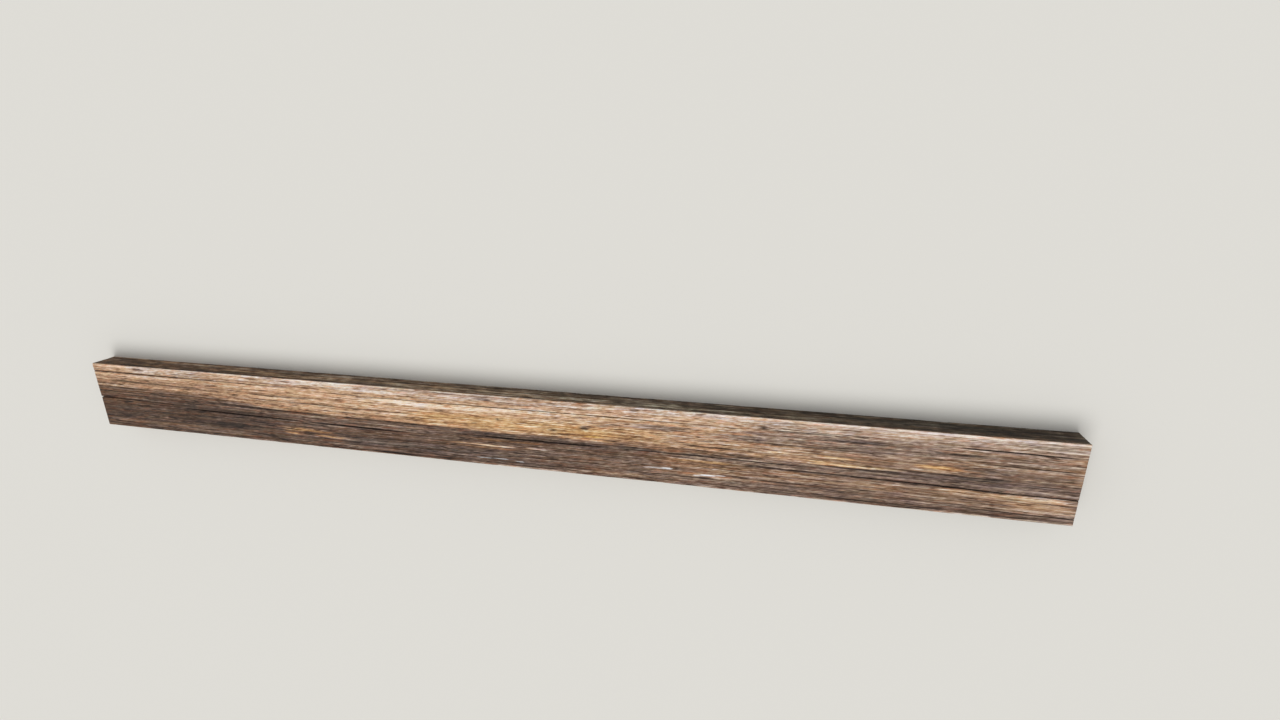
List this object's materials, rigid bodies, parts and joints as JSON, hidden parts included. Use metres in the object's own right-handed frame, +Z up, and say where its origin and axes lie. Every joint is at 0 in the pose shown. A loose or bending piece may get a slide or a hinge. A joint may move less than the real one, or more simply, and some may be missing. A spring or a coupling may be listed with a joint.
{
  "type": "wooden plank",
  "caption": "Straight sawn wooden plank of rectangular section, weathered, with open drying checks along the grain of its wide face.",
  "frame": {"origin": "middle of the underside, on the surface that the plank lies on", "axes": "+X along the grain and the length, +Y across the wide face, +Z up through the thickness, out of the checked face"},
  "size_m": [2, 0.15, 0.05],
  "materials": {
    "weathered_wood": "rough, weathered, unpainted"
  },
  "bodies": {
    "root": {"plank": "weathered_wood"}
  },
  "joints": []
}
